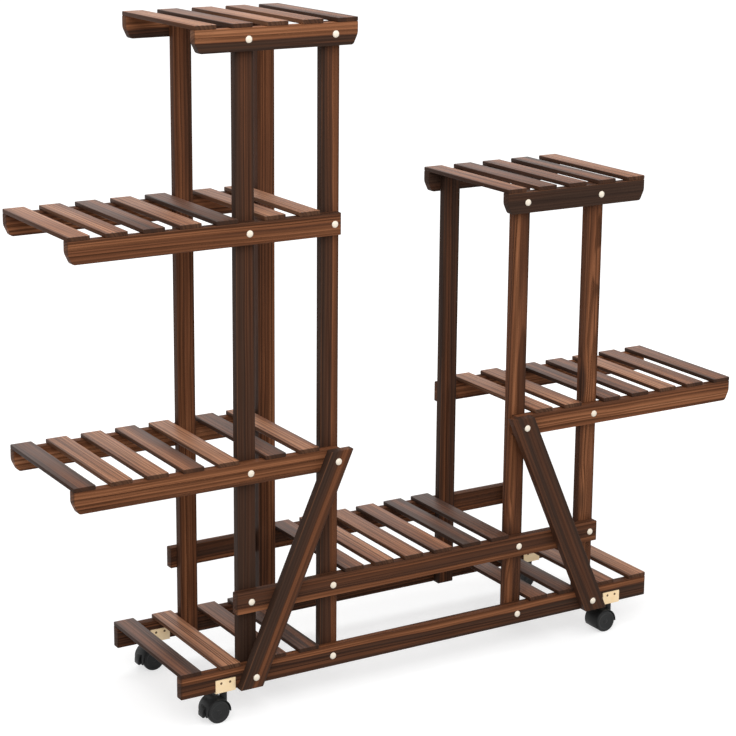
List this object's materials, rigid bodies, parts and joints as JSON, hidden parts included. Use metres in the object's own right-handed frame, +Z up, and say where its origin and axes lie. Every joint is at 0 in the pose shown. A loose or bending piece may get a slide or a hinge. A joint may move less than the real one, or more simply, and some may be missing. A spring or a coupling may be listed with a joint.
{
  "type": "rolling plant stand",
  "caption": "Plank plant stand on swivel casters: a tall and a short tower of bolted posts and rails, slatted shelves that reach out to the sides, a low shelf between and front braces.",
  "frame": {"origin": "on the floor, under the middle of the bounding box", "axes": "+X from the tall tower to the short one, +Y to the back, away from the braces, +Z up"},
  "size_m": [1.25, 0.2768, 1.091],
  "materials": {
    "post_wood": "oiled, with strong lengthwise grain",
    "rail_wood": "oiled, with strong lengthwise grain",
    "brace_wood": "oiled, with strong lengthwise grain",
    "slat_wood": "oiled, with strong lengthwise grain",
    "bolt_metal": "cream, semi-gloss",
    "nut_steel": "zinc plated",
    "bracket_metal": "pale gold plating",
    "caster_steel": "plain steel",
    "caster_plastic": "black, moulded",
    "wheel_plastic": "black, moulded"
  },
  "bodies": {
    "frame": {"front_left_outer_post": "post_wood", "front_left_inner_post": "post_wood", "front_right_inner_post": "post_wood", "front_right_outer_post": "post_wood", "back_left_outer_post": "post_wood", "back_left_inner_post": "post_wood", "back_right_inner_post": "post_wood", "back_right_outer_post": "post_wood", "front_left_top_rail": "rail_wood", "front_left_second_rail": "rail_wood", "front_left_third_rail": "rail_wood", "front_right_top_rail": "rail_wood", "front_right_middle_rail": "rail_wood", "front_low_rail": "rail_wood", "front_base_rail": "rail_wood", "back_left_top_rail": "rail_wood", "back_left_second_rail": "rail_wood", "back_left_third_rail": "rail_wood", "back_right_top_rail": "rail_wood", "back_right_middle_rail": "rail_wood", "back_low_rail": "rail_wood", "back_base_rail": "rail_wood", "left_brace": "brace_wood", "right_brace": "brace_wood", "left_top_slats": "slat_wood", "left_second_slats": "slat_wood", "left_third_slats": "slat_wood", "right_top_slats": "slat_wood", "right_middle_slats": "slat_wood", "low_slats": "slat_wood", "left_base_slats": "slat_wood", "right_base_slats": "slat_wood", "rail_bolts": "bolt_metal", "brace_bolts": "bolt_metal", "insert_nuts": "nut_steel", "front_left_caster_bracket": "bracket_metal", "front_left_caster_stem": "caster_steel", "front_right_caster_bracket": "bracket_metal", "front_right_caster_stem": "caster_steel", "back_left_caster_bracket": "bracket_metal", "back_left_caster_stem": "caster_steel", "back_right_caster_bracket": "bracket_metal", "back_right_caster_stem": "caster_steel"},
    "front_left_swivel": {"front_left_caster_hood": "caster_plastic", "front_left_caster_axle": "caster_steel"},
    "front_left_front_wheel": {"front_left_caster_front_wheel": "wheel_plastic"},
    "front_left_back_wheel": {"front_left_caster_back_wheel": "wheel_plastic"},
    "front_right_swivel": {"front_right_caster_hood": "caster_plastic", "front_right_caster_axle": "caster_steel"},
    "front_right_front_wheel": {"front_right_caster_front_wheel": "wheel_plastic"},
    "front_right_back_wheel": {"front_right_caster_back_wheel": "wheel_plastic"},
    "back_left_swivel": {"back_left_caster_hood": "caster_plastic", "back_left_caster_axle": "caster_steel"},
    "back_left_front_wheel": {"back_left_caster_front_wheel": "wheel_plastic"},
    "back_left_back_wheel": {"back_left_caster_back_wheel": "wheel_plastic"},
    "back_right_swivel": {"back_right_caster_hood": "caster_plastic", "back_right_caster_axle": "caster_steel"},
    "back_right_front_wheel": {"back_right_caster_front_wheel": "wheel_plastic"},
    "back_right_back_wheel": {"back_right_caster_back_wheel": "wheel_plastic"}
  },
  "joints": [
    {"name": "front_left_swivel_turn", "type": "hinge", "parent": "frame", "child": "front_left_swivel", "pos_m": [-0.37681, -0.1131, 0.049], "axis": [0, 0, 1], "continuous": true},
    {"name": "front_left_front_wheel_roll", "type": "hinge", "parent": "front_left_swivel", "child": "front_left_front_wheel", "pos_m": [-0.39181, -0.1131, 0.019], "axis": [0, 1, 0], "continuous": true},
    {"name": "front_left_back_wheel_roll", "type": "hinge", "parent": "front_left_swivel", "child": "front_left_back_wheel", "pos_m": [-0.39181, -0.1131, 0.019], "axis": [0, 1, 0], "continuous": true},
    {"name": "front_right_swivel_turn", "type": "hinge", "parent": "frame", "child": "front_right_swivel", "pos_m": [0.379, -0.1131, 0.049], "axis": [0, 0, 1], "continuous": true},
    {"name": "front_right_front_wheel_roll", "type": "hinge", "parent": "front_right_swivel", "child": "front_right_front_wheel", "pos_m": [0.364, -0.1131, 0.019], "axis": [0, 1, 0], "continuous": true},
    {"name": "front_right_back_wheel_roll", "type": "hinge", "parent": "front_right_swivel", "child": "front_right_back_wheel", "pos_m": [0.364, -0.1131, 0.019], "axis": [0, 1, 0], "continuous": true},
    {"name": "back_left_swivel_turn", "type": "hinge", "parent": "frame", "child": "back_left_swivel", "pos_m": [-0.37681, 0.1219, 0.049], "axis": [0, 0, 1], "continuous": true},
    {"name": "back_left_front_wheel_roll", "type": "hinge", "parent": "back_left_swivel", "child": "back_left_front_wheel", "pos_m": [-0.39181, 0.1219, 0.019], "axis": [0, 1, 0], "continuous": true},
    {"name": "back_left_back_wheel_roll", "type": "hinge", "parent": "back_left_swivel", "child": "back_left_back_wheel", "pos_m": [-0.39181, 0.1219, 0.019], "axis": [0, 1, 0], "continuous": true},
    {"name": "back_right_swivel_turn", "type": "hinge", "parent": "frame", "child": "back_right_swivel", "pos_m": [0.379, 0.1219, 0.049], "axis": [0, 0, 1], "continuous": true},
    {"name": "back_right_front_wheel_roll", "type": "hinge", "parent": "back_right_swivel", "child": "back_right_front_wheel", "pos_m": [0.364, 0.1219, 0.019], "axis": [0, 1, 0], "continuous": true},
    {"name": "back_right_back_wheel_roll", "type": "hinge", "parent": "back_right_swivel", "child": "back_right_back_wheel", "pos_m": [0.364, 0.1219, 0.019], "axis": [0, 1, 0], "continuous": true}
  ]
}
